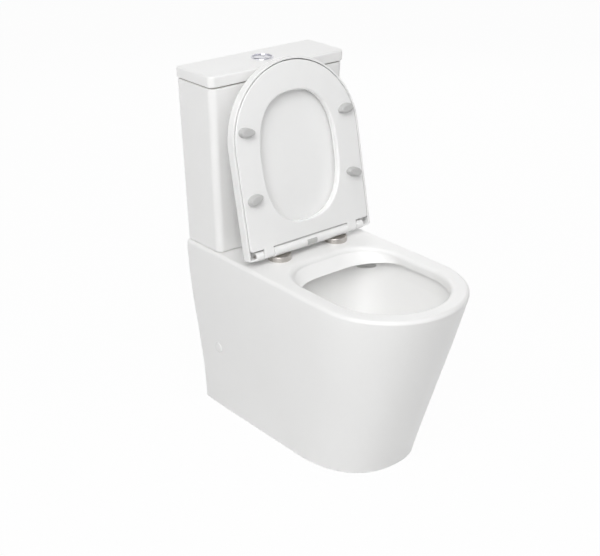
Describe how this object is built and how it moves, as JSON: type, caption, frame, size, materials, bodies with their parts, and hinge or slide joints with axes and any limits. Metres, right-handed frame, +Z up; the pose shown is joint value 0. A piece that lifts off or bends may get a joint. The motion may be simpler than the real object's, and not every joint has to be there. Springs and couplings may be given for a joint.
{
  "type": "back to wall toilet",
  "caption": "Back to wall close coupled toilet with a rimless pan, a tank with a dual flush button and a raised wrap over seat and lid.",
  "frame": {"origin": "centre of the bounding box at floor level: midway between the wall plane and the nose of the pan, on the middle line", "axes": "+Z up, -Y towards the front, +Y towards the wall, +X to the right when seen from the front"},
  "size_m": [0.374, 0.65, 0.8475],
  "materials": {
    "glazed_ceramic": "gloss white glaze",
    "white_plastic": "gloss white",
    "valve_plastic": "moulded",
    "blue_plastic": "moulded",
    "grey_plastic": "moulded",
    "chrome": "polished",
    "satin_steel": "satin",
    "brass": "bare",
    "grey_rubber": "soft grey",
    "black_rubber": "matte"
  },
  "bodies": {
    "pan_and_tank": {"pan": "glazed_ceramic", "tank": "glazed_ceramic", "flush_valve_body": "valve_plastic", "flush_valve_washer": "black_rubber", "flush_valve_nut": "valve_plastic", "coupling_gasket": "black_rubber", "coupling_bolts": "brass", "coupling_bolt_washers": "black_rubber", "coupling_wing_nuts": "brass", "fill_valve_body": "valve_plastic", "fill_valve_washer": "black_rubber", "fill_valve_nut": "valve_plastic", "hinge_bases": "satin_steel", "hinge_bolts": "satin_steel", "hinge_plugs": "black_rubber", "hinge_nuts": "brass", "floor_brackets": "valve_plastic", "bracket_screws": "satin_steel", "screw_covers": "white_plastic"},
    "seat_hinge": {"hinge_bar": "white_plastic", "hinge_pins": "satin_steel"},
    "hinge_release": {"hinge_release_button": "grey_plastic"},
    "lid_of_seat": {"seat_lid": "white_plastic", "lid_buffers": "grey_rubber", "lid_damper": "grey_plastic", "lid_bush": "grey_plastic"},
    "seat_ring": {"seat": "white_plastic", "seat_buffers": "grey_rubber", "seat_damper": "grey_plastic", "seat_bush": "grey_plastic"},
    "lid_of_tank": {"tank_lid": "glazed_ceramic", "button_bezel": "chrome", "button_locknut": "valve_plastic", "full_button_spring": "satin_steel", "half_button_spring": "satin_steel"},
    "full_button": {"full_flush_button": "chrome"},
    "half_button": {"half_flush_button": "chrome"},
    "valve_piston": {"flush_valve_piston": "blue_plastic", "flush_valve_seal": "black_rubber"},
    "float_cup": {"fill_valve_float": "blue_plastic"}
  },
  "joints": [
    {"name": "lid_hinge", "type": "hinge", "parent": "seat_hinge", "child": "lid_of_seat", "pos_m": [0, 0.099, 0.4475], "axis": [1, 0, 0], "range_deg": [0, 101.7]},
    {"name": "seat_ring_hinge", "type": "hinge", "parent": "lid_of_seat", "child": "seat_ring", "pos_m": [0, 0.099, 0.4475], "axis": [-1, 0, 0], "range_deg": [-101.7, 0]},
    {"name": "seat_lift_off", "type": "slide", "parent": "pan_and_tank", "child": "seat_hinge", "axis": [0, 0, 1], "range_m": [0, 0.02]},
    {"name": "release_press", "type": "slide", "parent": "seat_hinge", "child": "hinge_release", "axis": [0, 1, 0], "range_m": [0, 0.0025], "stiffness_N_per_m": 600, "springref_m": -0.002},
    {"name": "tank_lid_lift_off", "type": "slide", "parent": "pan_and_tank", "child": "lid_of_tank", "axis": [0, 0, 1], "range_m": [0, 0.12]},
    {"name": "full_flush_press", "type": "slide", "parent": "lid_of_tank", "child": "full_button", "axis": [0, 0, -1], "range_m": [0, 0.006], "stiffness_N_per_m": 500, "springref_m": -0.004, "deforming": ["full_button_spring"]},
    {"name": "half_flush_press", "type": "slide", "parent": "lid_of_tank", "child": "half_button", "axis": [0, 0, -1], "range_m": [0, 0.006], "stiffness_N_per_m": 500, "springref_m": -0.004, "deforming": ["half_button_spring"]},
    {"name": "flush_valve_lift", "type": "slide", "parent": "pan_and_tank", "child": "valve_piston", "axis": [0, 0, 1], "range_m": [0, 0.015]},
    {"name": "float_rise", "type": "slide", "parent": "pan_and_tank", "child": "float_cup", "axis": [0, 0, 1], "range_m": [0, 0.095]}
  ],
  "couplings": [
    {"joint": "flush_valve_lift", "follows": "full_flush_press", "ratio": 2.5}
  ]
}
